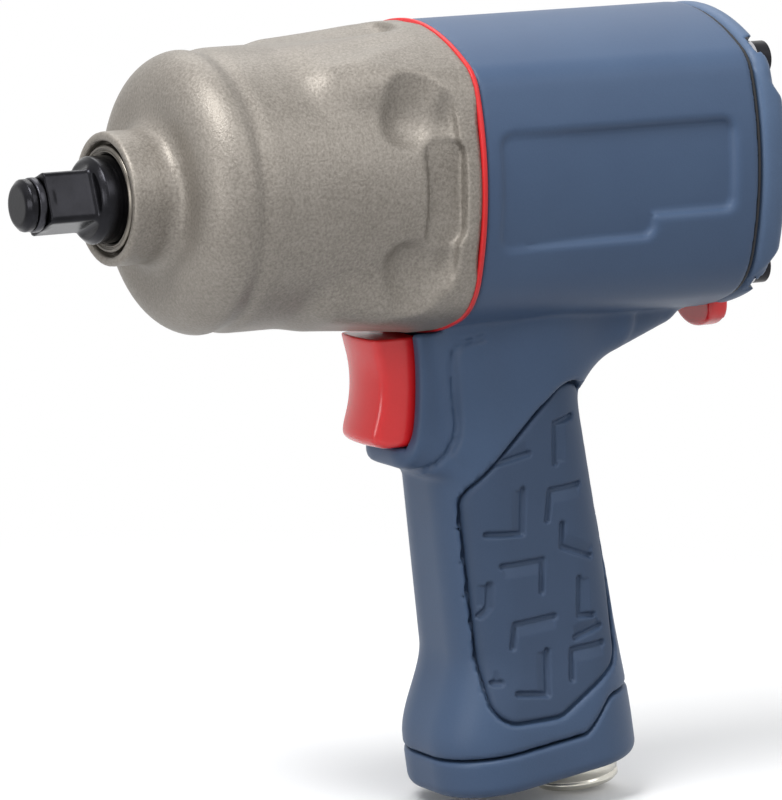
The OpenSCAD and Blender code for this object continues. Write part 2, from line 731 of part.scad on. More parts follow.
module inlet_bushing() color([0.78, 0.77, 0.72]) at_handle() translate([-inlet_back, 0, 0]) difference() {
    union() {
        translate([0, 0, -base_down - base_cap_h]) cylinder(h = base_cap_h + 11, r = 8.15);
        translate([0, 0, -base_down - base_cap_h - inlet_collar_h]) cylinder(h = inlet_collar_h, r = inlet_r);
    }
    translate([0, 0, -base_down - base_cap_h - inlet_collar_h - cut])
        cylinder(h = inlet_thread_len + cut, r = inlet_thread_r);
    translate([0, 0, -base_down - base_cap_h - cut]) cylinder(h = base_cap_h + 14, r = 4.4);
    translate([0, 0, -base_down + 4]) difference() {
        cylinder(h = 2.4, r = 9);
        translate([0, 0, -cut]) cylinder(h = 4, r = 6.9);
    }
}

module inlet_o_ring() color("black") at_handle() translate([-inlet_back, 0, -base_down + 5.2])
    rotate_extrude() translate([7.55, 0]) circle(r = 0.62, $fn = 24);

module inlet_screen() color("silver") at_handle() translate([-inlet_back, 0, -inlet_top]) difference() {
    cylinder(h = 0.8, r = 7.9);
    for (x = [-4 : 2 : 4], y = [-4 : 2 : 4]) translate([x - 0.6, y - 0.6, -cut]) cube([1.2, 1.2, 2]);
}

anvil();
socket_retainer_ring();
retainer_o_ring();
hammer_case();
anvil_bushing();
hammer_frame();
hammer_front();
hammer_rear();
hammer_pins();
case_gasket();
clamp_washer();
front_end_plate();
front_bearing_outer();
front_bearing_inner();
front_bearing_balls();
rotor();
rotor_vanes();
motor_cylinder();
cylinder_dowel();
rear_end_plate();
rear_bearing_outer();
rear_bearing_inner();
rear_bearing_balls();
motor_housing();
end_cover_gasket();
end_cover();
through_bolts();
bolt_washers();
grip_panel_left();
grip_panel_right();
trigger();
trigger_stem();
trigger_bushing();
stem_o_ring();
valve_seat();
throttle_valve();
throttle_spring();
reverse_valve();
reverse_lever();
lever_screw();
detent_ball();
detent_spring();
exhaust_muffler();
base_cap();
base_cap_screws();
inlet_bushing();
inlet_o_ring();
inlet_screen();
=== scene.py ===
import math

import bpy
import numpy as np
from mathutils import Matrix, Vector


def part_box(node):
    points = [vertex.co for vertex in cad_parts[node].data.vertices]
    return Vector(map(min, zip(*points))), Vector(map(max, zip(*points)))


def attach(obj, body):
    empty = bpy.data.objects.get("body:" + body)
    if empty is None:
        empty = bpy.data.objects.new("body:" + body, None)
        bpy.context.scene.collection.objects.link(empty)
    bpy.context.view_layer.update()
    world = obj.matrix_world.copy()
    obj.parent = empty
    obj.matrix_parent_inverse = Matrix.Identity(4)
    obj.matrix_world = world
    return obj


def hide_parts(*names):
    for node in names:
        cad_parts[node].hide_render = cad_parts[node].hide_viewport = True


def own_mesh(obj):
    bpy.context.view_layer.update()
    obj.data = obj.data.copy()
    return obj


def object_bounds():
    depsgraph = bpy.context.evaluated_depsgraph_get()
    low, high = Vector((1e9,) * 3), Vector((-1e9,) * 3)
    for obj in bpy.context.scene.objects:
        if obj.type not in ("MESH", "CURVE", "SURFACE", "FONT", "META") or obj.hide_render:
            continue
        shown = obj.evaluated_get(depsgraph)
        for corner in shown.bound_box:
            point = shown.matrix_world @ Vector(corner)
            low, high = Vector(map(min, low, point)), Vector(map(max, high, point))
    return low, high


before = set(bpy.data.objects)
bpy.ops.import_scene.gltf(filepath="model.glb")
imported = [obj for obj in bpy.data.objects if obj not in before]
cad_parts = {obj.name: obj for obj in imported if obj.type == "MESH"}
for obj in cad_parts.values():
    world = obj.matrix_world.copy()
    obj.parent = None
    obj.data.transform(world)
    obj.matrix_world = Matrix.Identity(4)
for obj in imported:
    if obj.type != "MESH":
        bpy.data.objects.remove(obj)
cad_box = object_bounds()

# ---- Camera ----
# A long lens looks back along the tool from its nose, a little above the spindle.
mm = 0.001
view_turn, view_rise, view_roll = math.radians(60.462), math.radians(9.335), math.radians(-0.363)
view_distance, view_right, view_down = 1600, 72.686, 47.164
toward = np.array([math.cos(view_rise) * math.cos(view_turn), math.cos(view_rise) * math.sin(view_turn),
                   math.sin(view_rise)])
level = np.array([-math.sin(view_turn), math.cos(view_turn), 0])
upward = np.cross(toward, level)
right = math.cos(view_roll) * level + math.sin(view_roll) * upward
upward = math.cos(view_roll) * upward - math.sin(view_roll) * level
eye = (view_distance * toward + view_right * right - view_down * upward) * mm
lens = bpy.data.cameras.new("studio_camera")
lens.sensor_width = 36
lens.lens = 303.9
lens.clip_start, lens.clip_end = 0.05, 20
camera = bpy.data.objects.new("studio_camera", lens)
camera.matrix_world = Matrix([[right[i], upward[i], toward[i], eye[i]] for i in range(3)] + [[0, 0, 0, 1]])
bpy.context.scene.collection.objects.link(camera)
bpy.context.scene.camera = camera

# ---- Studio ----
# A pale floor under the base, a white surround, and large soft lamps.
bpy.context.scene.view_settings.view_transform = "Standard"


def add(nodes, kind, **values):
    """A new node with its sockets or settings filled in by name."""
    node = nodes.new(kind)
    for name, value in values.items():
        if name in node.inputs:
            node.inputs[name].default_value = value
        else:
            setattr(node, name, value)
    return node


def seen_directly(tree):
    """1 for what the camera and reflections see, and 0 for light on its way to the tool."""
    rays = add(tree.nodes, "ShaderNodeLightPath")
    either = add(tree.nodes, "ShaderNodeMath", operation="MAXIMUM")
    shown = add(tree.nodes, "ShaderNodeMath", operation="MAXIMUM")
    tree.links.new(rays.outputs["Is Glossy Ray"], either.inputs[0])
    tree.links.new(rays.outputs["Is Transmission Ray"], either.inputs[1])
    tree.links.new(rays.outputs["Is Camera Ray"], shown.inputs[0])
    tree.links.new(either.outputs[0], shown.inputs[1])
    return shown.outputs[0]


world = bpy.data.worlds.new("surround")
world.use_nodes = True
world.node_tree.nodes.clear()
sky_nodes, sky_links = world.node_tree.nodes, world.node_tree.links
white = add(sky_nodes, "ShaderNodeBackground", Color=(1, 1, 1, 1))
soft = add(sky_nodes, "ShaderNodeBackground", Color=(0.95, 0.97, 1, 1), Strength=0.44)
sky_mix = add(sky_nodes, "ShaderNodeMixShader")
sky_links.new(seen_directly(world.node_tree), sky_mix.inputs["Fac"])
sky_links.new(soft.outputs[0], sky_mix.inputs[1])
sky_links.new(white.outputs[0], sky_mix.inputs[2])
sky_links.new(sky_mix.outputs[0], add(sky_nodes, "ShaderNodeOutputWorld").inputs["Surface"])
bpy.context.scene.world = world

floor_mesh = bpy.data.meshes.new("floor")
reach, floor_height = 6, cad_box[0].z - 0.0005
floor_corners = [(-reach, -reach), (reach, -reach), (reach, reach), (-reach, reach)]
floor_mesh.from_pydata([(u, v, floor_height) for u, v in floor_corners], [], [(0, 1, 2, 3)])
floor = bpy.data.objects.new("floor", floor_mesh)
bpy.context.scene.collection.objects.link(floor)
pale = bpy.data.materials.new("pale_floor")
pale.use_nodes = True
floor_nodes, floor_links = pale.node_tree.nodes, pale.node_tree.links
floor_shader = floor_nodes["Principled BSDF"]
floor_shader.inputs["Roughness"].default_value = 0.9
floor_shader.inputs["Specular IOR Level"].default_value = 0
shown = seen_directly(pale.node_tree)
paint = add(floor_nodes, "ShaderNodeMix", data_type="RGBA")
lighting_grey, shown_white = (0.3, 0.3, 0.31, 1), (0.95, 0.95, 0.95, 1)
paint.inputs[6].default_value, paint.inputs[7].default_value = lighting_grey, shown_white
floor_links.new(shown, paint.inputs[0])
floor_links.new(paint.outputs[2], floor_shader.inputs["Base Color"])
# Away from the tool the floor fades into the white surround
spot_on_floor = floor_nodes.new("ShaderNodeTexCoord")
away = add(floor_nodes, "ShaderNodeVectorMath", operation="LENGTH")
fade = add(floor_nodes, "ShaderNodeMapRange", interpolation_type="SMOOTHSTEP")
fade_start, fade_end = 0.16, 0.45
fade.inputs["From Min"].default_value, fade.inputs["From Max"].default_value = fade_start, fade_end
glow = floor_nodes.new("ShaderNodeEmission")
blend_out = add(floor_nodes, "ShaderNodeMath", operation="MULTIPLY")
floor_mix = floor_nodes.new("ShaderNodeMixShader")
floor_links.new(spot_on_floor.outputs["Object"], away.inputs[0])
floor_links.new(away.outputs["Value"], fade.inputs["Value"])
floor_links.new(fade.outputs[0], blend_out.inputs[0])
floor_links.new(shown, blend_out.inputs[1])
floor_links.new(blend_out.outputs[0], floor_mix.inputs["Fac"])
floor_links.new(floor_shader.outputs[0], floor_mix.inputs[1])
floor_links.new(glow.outputs[0], floor_mix.inputs[2])
floor_links.new(floor_mix.outputs[0], floor_nodes["Material Output"].inputs["Surface"])
floor.data.materials.append(pale)


def lamp(name, turn, rise, distance, size, power):
    """A round soft lamp aimed at the tool's middle, its turn and rise in degrees."""
    light = bpy.data.lights.new(name, "AREA")
    light.shape = "DISK"
    light.size = size
    light.energy = power
    made = bpy.data.objects.new(name, light)
    a, e = math.radians(turn), math.radians(rise)
    aim = np.array([math.cos(e) * math.cos(a), math.cos(e) * math.sin(a), math.sin(e)])
    side = np.cross([0, 0, 1], aim)
    side = side / np.linalg.norm(side)
    top = np.cross(aim, side)
    place = aim * distance + np.array([-0.08, 0, -0.04])
    made.matrix_world = Matrix([[side[i], top[i], aim[i], place[i]] for i in range(3)] + [[0, 0, 0, 1]])
    bpy.context.scene.collection.objects.link(made)


lamp("key_lamp", 22, 60, 1.5, 0.8, 21)
lamp("side_lamp", 105, 38, 1.7, 1.1, 7)
lamp("nose_lamp", 18, 8, 1.7, 0.7, 6)
lamp("back_lamp", -110, 55, 1.8, 1.2, 8)

# ---- Drive spindle ----
# One hardened steel forging: the half-inch square, its round pilot and ring groove,
# the shank that runs in the nose bushing, and the anvil lobes the hammers strike.


def blended_min(a, b, k):
    """Joins two shapes, each given by its distance outside, with a fillet about k wide."""
    h = np.maximum(k - np.abs(a - b), 0) / k
    return np.minimum(a, b) - h * h * k / 4


def blended_max(a, b, k):
    return -blended_min(-a, -b, k)


def cut_away(body, hole, k=0.6):
    return blended_max(body, -hole, k)


def plug(x, y, z, front, back, radius, y0=0.0, z0=0.0, k=0.3):
    """A round bar along the spindle, from one place behind the shoulder to another."""
    ends = np.abs(x + (front + back) / 2) - (back - front) / 2
    return blended_max(np.hypot(y - y0, z - z0) - radius, ends, k)


def rounded_box(u, v, half_u, half_v, corner):
    a, b = np.abs(u) - (half_u - corner), np.abs(v) - (half_v - corner)
    return np.hypot(np.maximum(a, 0), np.maximum(b, 0)) + np.minimum(np.maximum(a, b), 0) - corner


def piece_from(name, points, quads):
    """A mesh object from points in millimetres and four-sided faces."""
    mesh = bpy.data.meshes.new(name)
    mesh.vertices.add(len(points))
    mesh.vertices.foreach_set("co", (np.asarray(points) * mm).astype(np.float32).ravel())
    mesh.loops.add(4 * len(quads))
    mesh.polygons.add(len(quads))
    mesh.polygons.foreach_set("loop_start", np.arange(len(quads), dtype=np.int32) * 4)
    mesh.loops.foreach_set("vertex_index", np.asarray(quads, dtype=np.int32).ravel())
    mesh.update(calc_edges=True)
    mesh.validate()
    mesh.polygons.foreach_set("use_smooth", np.full(len(mesh.polygons), True))
    made = bpy.data.objects.new(name, mesh)
    bpy.context.scene.collection.objects.link(made)
    return made


def skinned(name, shape, low, high, cell):
    """Lays an even quad skin on the surface where shape(x, y, z) is zero."""
    low, high = np.array(low, float), np.array(high, float)
    counts = np.ceil((high - low) / cell).astype(int) + 1
    axes = [low[i] + cell * np.arange(counts[i]) for i in range(3)]
    value = shape(*np.meshgrid(*axes, indexing="ij", sparse=True))
    value = np.where(np.abs(value) < 1e-9, 1e-9, value)
    total = np.zeros(tuple(counts - 1) + (3,))
    hits = np.zeros(tuple(counts - 1))
    crossings = []
    for axis in range(3):
        ahead = [slice(None)] * 3
        behind = [slice(None)] * 3
        ahead[axis], behind[axis] = slice(1, None), slice(None, -1)
        a, b = value[tuple(behind)], value[tuple(ahead)]
        where = np.argwhere((a < 0) != (b < 0))
        fa, fb = a[tuple(where.T)], b[tuple(where.T)]
        spot = low + cell * where
        spot[:, axis] += cell * fa / (fa - fb)
        one, two = (axis + 1) % 3, (axis + 2) % 3
        crossings.append((axis, where, fa < 0))
        for i in (0, 1):
            for j in (0, 1):
                home = where.copy()
                home[:, one] -= i
                home[:, two] -= j
                fits = np.all((home >= 0) & (home < counts - 1), axis=1)
                np.add.at(total, tuple(home[fits].T), spot[fits])
                np.add.at(hits, tuple(home[fits].T), 1)
    used = hits > 0
    number = np.full(hits.shape, -1)
    number[used] = np.arange(used.sum())
    points = total[used] / hits[used][:, None]
    quads = []
    for axis, where, inside in crossings:
        one, two = (axis + 1) % 3, (axis + 2) % 3
        corners = []
        for i, j in ((1, 1), (0, 1), (0, 0), (1, 0)):
            home = where.copy()
            home[:, one] -= i
            home[:, two] -= j
            corners.append(number[tuple(home.T)])
        face = np.array(corners).T
        face[~inside] = face[~inside][:, ::-1]
        quads.append(face)
    # Three steps down the slope bring the points onto the true surface
    nudge, least_slope, longest_step = 0.05, 0.05, 0.5 * cell
    for _ in range(3):
        x, y, z = points.T
        here = shape(x, y, z)
        slope = np.stack([shape(x + nudge, y, z) - shape(x - nudge, y, z),
                          shape(x, y + nudge, z) - shape(x, y - nudge, z),
                          shape(x, y, z + nudge) - shape(x, y, z - nudge)], 1) / (2 * nudge)
        step = here[:, None] * slope / np.maximum((slope ** 2).sum(1), least_slope)[:, None]
        length = np.linalg.norm(step, axis=1)[:, None]
        points = points - step * np.minimum(1, longest_step / np.maximum(length, 1e-9))
    return piece_from(name, points, np.concatenate(quads))


def srgb(code):
    """The linear colour of a six-digit colour code."""
    parts = [int(code[i:i + 2], 16) / 255 for i in (0, 2, 4)]
    return tuple(p / 12.92 if p <= 0.04045 else ((p + 0.055) / 1.055) ** 2.4 for p in parts) + (1,)


def finish_of(name, colour, worn, rough, spread, metal=0.0, grain=2600, depth=0.00003, patches=45,
              fleck=0.25, coat=0.0, specular=0.5, stretch=(1, 1, 1)):
    """A surface with fine grain in its height and sheen, and slow patches between two near colours."""
    material = bpy.data.materials.new(name)
    material.use_nodes = True
    tree = material.node_tree
    shader = tree.nodes["Principled BSDF"]
    place = add(tree.nodes, "ShaderNodeTexCoord")
    spread_out = add(tree.nodes, "ShaderNodeMapping")
    spread_out.inputs["Scale"].default_value = stretch
    fine = add(tree.nodes, "ShaderNodeTexNoise", Scale=grain, Detail=2.0, Roughness=0.6)
    broad = add(tree.nodes, "ShaderNodeTexNoise", Scale=patches, Detail=3.0, Roughness=0.55)
    tree.links.new(place.outputs["Object"], spread_out.inputs["Vector"])
    tree.links.new(spread_out.outputs[0], fine.inputs["Vector"])
    tree.links.new(place.outputs["Object"], broad.inputs["Vector"])
    share = add(tree.nodes, "ShaderNodeMapRange")
    share.inputs["From Min"].default_value, share.inputs["From Max"].default_value = 0.3, 0.7
    both = add(tree.nodes, "ShaderNodeMix", data_type="FLOAT")
    both.inputs[0].default_value = fleck
    tree.links.new(broad.outputs["Fac"], both.inputs[2])
    tree.links.new(fine.outputs["Fac"], both.inputs[3])
    tree.links.new(both.outputs[0], share.inputs["Value"])
    tint = add(tree.nodes, "ShaderNodeMix", data_type="RGBA")
    tint.inputs[6].default_value, tint.inputs[7].default_value = srgb(colour), srgb(worn)
    tree.links.new(share.outputs[0], tint.inputs[0])
    tree.links.new(tint.outputs[2], shader.inputs["Base Color"])
    sheen = add(tree.nodes, "ShaderNodeMapRange")
    sheen.inputs["To Min"].default_value = rough - spread
    sheen.inputs["To Max"].default_value = rough + spread
    tree.links.new(both.outputs[0], sheen.inputs["Value"])
    tree.links.new(sheen.outputs[0], shader.inputs["Roughness"])
    bump = add(tree.nodes, "ShaderNodeBump", Strength=1.0, Distance=depth)
    tree.links.new(fine.outputs["Fac"], bump.inputs["Height"])
    tree.links.new(bump.outputs[0], shader.inputs["Normal"])
    shader.inputs["Metallic"].default_value = metal
    shader.inputs["Coat Weight"].default_value = coat
    shader.inputs["Coat Roughness"].default_value = 0.15
    shader.inputs["Specular IOR Level"].default_value = specular
    return material


def made_of(piece, material, body, slot, *nodes):
    """Gives a piece its material and the body it rides on, and hides the nodes it stands for; its slot is not
    used.
    """
    piece.data.materials.append(material)
    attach(piece, body)
    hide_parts(*nodes)


square_turn = math.radians(23)
square_half = 6.35
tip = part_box("anvil")[1].x / mm
ring_place = (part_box("socket_retainer_ring")[0].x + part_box("socket_retainer_ring")[1].x) / 2 / mm


def spindle_shape(x, y, z):
    reach = np.hypot(y, z)
    u = y * math.cos(square_turn) + z * math.sin(square_turn)
    v = z * math.cos(square_turn) - y * math.sin(square_turn)
    square = blended_max(rounded_box(u, v, square_half, square_half, 0.7), reach - 8.4, 0.5)
    square = blended_max(square, np.abs(x - 5) - 7.9, 0.5)
    pilot = blended_max(reach - 6.3 + np.maximum(x - (tip - 1.3), 0), x - tip, 0.5)
    pilot = np.maximum(pilot, 11 - x)
    shank = blended_max(reach - 10.5 + 0.9 * np.maximum(x + 1.3, 0), x - 0.02, 0.5)
    shank = np.maximum(shank, -27.4 - x)
    collar = plug(x, y, z, 27.4, 36.2, 12.2)
    core = plug(x, y, z, 36, 67.2, 9.4)
    lobes = blended_max(plug(x, y, z, 36.2, 67.2, 13), np.abs(y) - 4.5, 0.6)
    end = plug(x, y, z, 67, 71.5, 6)
    body = blended_min(square, pilot, 0.6)
    # The flats run out in a curve into the round shank
    body = blended_min(body, shank, 1.6)
    body = np.minimum(np.minimum(body, collar), np.minimum(blended_min(core, lobes, 1), end))
    groove = np.maximum(np.abs(x - ring_place) - 1.2, 4.3 - reach)
    return cut_away(body, groove, 0.3)


spindle = skinned("drive_spindle", spindle_shape, (-74, -14, -14), (tip + 1.1, 14, 14), 0.4)
black_steel = finish_of("black_oxide_steel", "17171a", "26262a", 0.24, 0.07, metal=0.85, grain=1500,
                        depth=0.000012, patches=120)
made_of(spindle, black_steel, "spindle", "black_steel", "anvil")

# ---- Friction ring ----
# A split spring-steel ring in the pilot's groove, over a rubber ring, that grips the socket.


def ringed(name, points, count, steps):
    """Joins closed rings of points, the last to the first, into a skin that faces outwards."""
    quads = [(i * steps + k, i * steps + (k + 1) % steps,
              (i + 1) % count * steps + (k + 1) % steps, (i + 1) % count * steps + k)
             for i in range(count) for k in range(steps)]
    made = piece_from(name, points, quads)
    made.data.update()
    # The enclosed volume comes out negative when the faces look inwards
    if sum(p.center.dot(p.normal) * p.area for p in made.data.polygons) < 0:
        made.data.flip_normals()
    return made


def turned(name, profile, steps=160):
    """Turns a closed run of (distance behind the shoulder, radius) about the spindle's line."""
    turns = np.arange(steps) * 2 * math.pi / steps
    points = [(-d, r * math.cos(t), r * math.sin(t)) for d, r in profile for t in turns]
    return ringed(name, points, len(profile), steps)


ring_half_width, ring_half_depth, ring_radius, ring_steps = 1.0, 0.7, 5.85, 20


def squared_off(value):
    """Fattens a circle's sine or cosine towards a square section."""
    return math.copysign(abs(value) ** 0.6, value)


ring_angles = [2 * math.pi * k / ring_steps for k in range(ring_steps)]
ring_profile = [(-ring_place - ring_half_width * squared_off(math.cos(a)),
                 ring_radius + ring_half_depth * squared_off(math.sin(a))) for a in ring_angles]
friction_ring = turned("friction_ring", ring_profile)
ring_steel = finish_of("ring_steel", "2a2a2e", "3d3d42", 0.28, 0.08, metal=0.9, grain=1500,
                       depth=0.00001, patches=150)
made_of(friction_ring, ring_steel, "spindle", "bright_steel", "socket_retainer_ring")

# ---- Nose bushing ----
# A bronze-lined steel bushing pressed into the nose, its face turned in fine rings.
liner_profile = [(27, 12.95), (27, 10.56), (6.9, 10.56), (6.3, 10.9), (6.3, 11.15), (5.95, 11.25),
                 (5.95, 11.5), (6.2, 11.6), (6.2, 11.9), (5.7, 12.0), (5.6, 12.15), (5.6, 12.45),
                 (5.8, 12.55), (5.9, 12.75), (6.2, 12.9)]
liner = turned("nose_bushing", liner_profile)
liner_steel = finish_of("bushing_steel", "57534e", "7a756d", 0.3, 0.08, metal=0.9, grain=900,
                        depth=0.00001, patches=200)
made_of(liner, liner_steel, "housing", "bronze", "anvil_bushing")

# ---- Hammer case ----
# A bead-blasted titanium casting: nose, dome and barrel in one, with four screw lobes
# scooped at the sides, and a flange that the motor housing's screws pull up to.


bolt_y, bolt_z = 24.2, 25.6
bolt_hole = 2.75
case_back = 88.3


def barrel_outline(y, z):
    """How far a point lies outside the squarish outline that flange, gaskets, housing and cover share."""
    side = (np.abs(y) - (36.3 - 0.0068 * z * z)) / np.sqrt(1 + (0.0136 * z) ** 2)
    roof = (z - (37.8 - 0.0108 * y * y)) / np.sqrt(1 + (0.0216 * y) ** 2)
    under = (-z - (37.9 - 0.0095 * y * y)) / np.sqrt(1 + (0.019 * y) ** 2)
    return blended_max(blended_max(side, roof, 2.5), under, 5)


def along(x, y, z, start, end, radius_start, radius_end):
    """A tapering round-ended bar between two points."""
    a, b = np.array(start, float), np.array(end, float)
    d = b - a
    t = np.clip(((x - a[0]) * d[0] + (y - a[1]) * d[1] + (z - a[2]) * d[2]) / (d @ d), 0, 1)
    gap = np.sqrt((x - a[0] - t * d[0]) ** 2 + (y - a[1] - t * d[1]) ** 2 + (z - a[2] - t * d[2]) ** 2)
    return gap - (radius_start + (radius_end - radius_start) * t)


def case_shape(x, y, z):
    reach = np.hypot(y, z)
    ay, az = np.abs(y), np.abs(z)
    out, ahead = reach - 23.8, x + 28.5
    dome = np.hypot(np.maximum(out, 0), np.maximum(ahead, 0)) + np.minimum(np.maximum(out, ahead), 0) - 10.5
    # A shallow waist where the dome meets the barrel
    dome = dome + 0.7 * np.exp(-((x + 31) / 2.3) ** 2)
    shell = blended_max(dome, -case_back - x, 0.4)
    nose = blended_max(reach - 16.1, x + 5.4, 1.0)
    nose = np.maximum(nose, -24 - x)
    shell = blended_min(shell, nose, 4.5)
    # Screw lobes rise out of the barrel and run back into the flange
    lobe = along(x, ay, az, (-57, 18.5, 23.5), (-94, bolt_y, 26.4), 8, 10.6)
    crown = along(x, ay, az, (-55, 9, 27), (-94, 10, 29), 6.5, 9.2)
    lobe = blended_min(lobe, crown, 6)
    shell = blended_min(shell, np.maximum(lobe, -case_back - x), 5)
    flange = blended_max(barrel_outline(y, z), np.abs(x + 85.6) - 2.7, 1.4)
    shell = blended_min(shell, flange, 3)
    # Scoops in the sides of the lobes, and the channel before the flange
    scoop = along(x, ay, az, (-70.4, 37.8, 19.8), (-72, 39.6, 38), 10.4, 11)
    shell = blended_max(shell, -scoop, 0.9)
    channel = np.maximum(rounded_box(x + 79.8, z, 4.5, 11.4, 2.5), 32.3 - ay)
    shell = blended_max(shell, -channel, 2.2)
    shell = blended_max(shell, barrel_outline(y, z), 0.6)
    shell = cut_away(shell, plug(x, y, z, 28.6, 95, 30), 0.5)
    shell = cut_away(shell, plug(x, y, z, 0, 35, 12.97), 0.4)
    shell = cut_away(shell, plug(x, y, z, 0, 8.4, 13.85), 0.8)
    for lean in (1, -1):
        shell = cut_away(shell, plug(x, ay, z, 76.3, 95, 2.52, bolt_y, bolt_z * lean), 0.3)
    return shell


case = skinned("hammer_case_casting", case_shape, (-89.1, -37.5, -39), (-4.6, 37.5, 39), 0.74)
case_metal = finish_of("blasted_titanium", "746e66", "98928a", 0.47, 0.1, metal=0.45, grain=1500,
                       depth=0.00011, patches=60, fleck=0.75, specular=0.35)
made_of(case, case_metal, "housing", "case_metal", "hammer_case")

# ---- Red gasket ----
# A sheet gasket clamped between case and housing, left a little proud all round.


def outline_ring(name, front, back, grow, hole, edge=0.15, steps=360):
    """A thin plate in the barrel's outline with a round hole in it."""
    turns = np.arange(steps) * 2 * math.pi / steps
    near, beyond = np.full(steps, 20.0), np.full(steps, 60.0)
    for _ in range(40):
        middle = (near + beyond) / 2
        outside = barrel_outline(middle * np.cos(turns), middle * np.sin(turns)) > grow
        beyond = np.where(outside, middle, beyond)
        near = np.where(outside, near, middle)
    profile = [(front, near - edge), (front + edge, near), (back - edge, near), (back, near - edge),
               (back, np.full(steps, hole)), (front, np.full(steps, hole))]
    points = [np.stack([np.full(steps, -d), r * np.cos(turns), r * np.sin(turns)], 1) for d, r in profile]
    return ringed(name, np.concatenate(points), len(profile), steps)


red_gasket = outline_ring("red_gasket", 88.34, 89.46, 0.42, 31.5)
gasket_red = finish_of("gasket_red", "c8161a", "d8262a", 0.42, 0.06, grain=900, depth=0.00002)
made_of(red_gasket, gasket_red, "housing", "red_gasket", "case_gasket")

# ---- Motor housing ----
# One glass-filled nylon moulding: the barrel round the air motor, the handle, the web
# behind it and the lip under the trigger.
rake = math.radians(8.5)
handle_root = 101.4
trigger_z, lever_z = -52, -32
inlet_behind = 11
base_down = 141.5


def in_handle(x, z):
    """Place across and distance down the raked handle."""
    behind = x + handle_root
    return behind * math.cos(rake) - z * math.sin(rake), -(behind * math.sin(rake) + z * math.cos(rake))


def ease(value, start, end):
    """Rises smoothly from 0 at the start to 1 at the end."""
    t = np.clip((value - start) / (end - start), 0, 1)
    return t * t * (3 - 2 * t)


def grip_skin(across, y, down):
    """How far a point lies outside the handle, which widens at the shoulder and flares at the foot."""
    shoulder, flare, taper = ease(down, 66, 30), ease(down, 116, 139), (down - 62) / 64
    front = 21.5 + 2.5 * shoulder + 2 * taper + 7.5 * flare
    rear = 21.5 + 5 * shoulder + 1.6 * taper + 0.6 * flare
    half = 18 + shoulder + 1.6 * taper + 1.5 * flare
    corner = 14 + 2 * shoulder + 0.8 * taper + 2 * flare
    return rounded_box(across - (front - rear) / 2, y, (front + rear) / 2, half, corner)


def base_seam(across):
    """Where the base cap's joint runs, stepping up towards the front."""
    return base_down - 7.5 * ease(-across, 3, 14)


def off_line(u, v, a, b):
    """Distance from a straight run in a flat drawing, and the share of the run that is passed."""
    d = (b[0] - a[0], b[1] - a[1])
    t = np.clip(((u - a[0]) * d[0] + (v - a[1]) * d[1]) / (d[0] ** 2 + d[1] ** 2), 0, 1)
    return np.hypot(u - a[0] - t * d[0], v - a[1] - t * d[1]), t


def polygon(u, v, corners):
    """Signed distance to a flat shape with straight sides, its corners listed anticlockwise."""
    corners = np.array(corners, float)
    nearest, outside = None, None
    for a, b in zip(corners, np.roll(corners, -1, axis=0)):
        d = b - a
        gap = off_line(u, v, a, b)[0]
        side = ((u - a[0]) * d[1] - (v - a[1]) * d[0]) / np.hypot(*d)
        nearest = gap if nearest is None else np.minimum(nearest, gap)
        outside = side if outside is None else np.maximum(outside, side)
    return np.where(outside > 0, nearest, -nearest)


panel_corners = [(-13.6, 61), (11.6, 79.5), (13.2, 127.5), (3.5, 128.5), (-11, 121.5), (-13.5, 100)]
panel_rounding = 6.4


def panel_outline(across, down):
    """How far a point lies outside the round-cornered outline of a grip panel."""
    return polygon(across, down, panel_corners) - panel_rounding


def bent_bar(x, y, z, a, b, half_width, radius, k=6):
    """A bar along a line in the tool's middle plane, a given width across it."""
    gap, t = off_line(x, z, a, b)
    gap = gap - (radius[0] + (radius[1] - radius[0]) * t)
    return blended_max(gap, np.abs(y) - (half_width[0] + (half_width[1] - half_width[0]) * t), k)


collar_seam = [(8, 37.6), (13, 37.9), (15.2, 39.6), (16, 43), (16.4, 52), (16.6, 58), (17.6, 62),
               (19.6, 65), (22.8, 67.4), (27, 69), (34, 70)]
seam_depth = 1.2


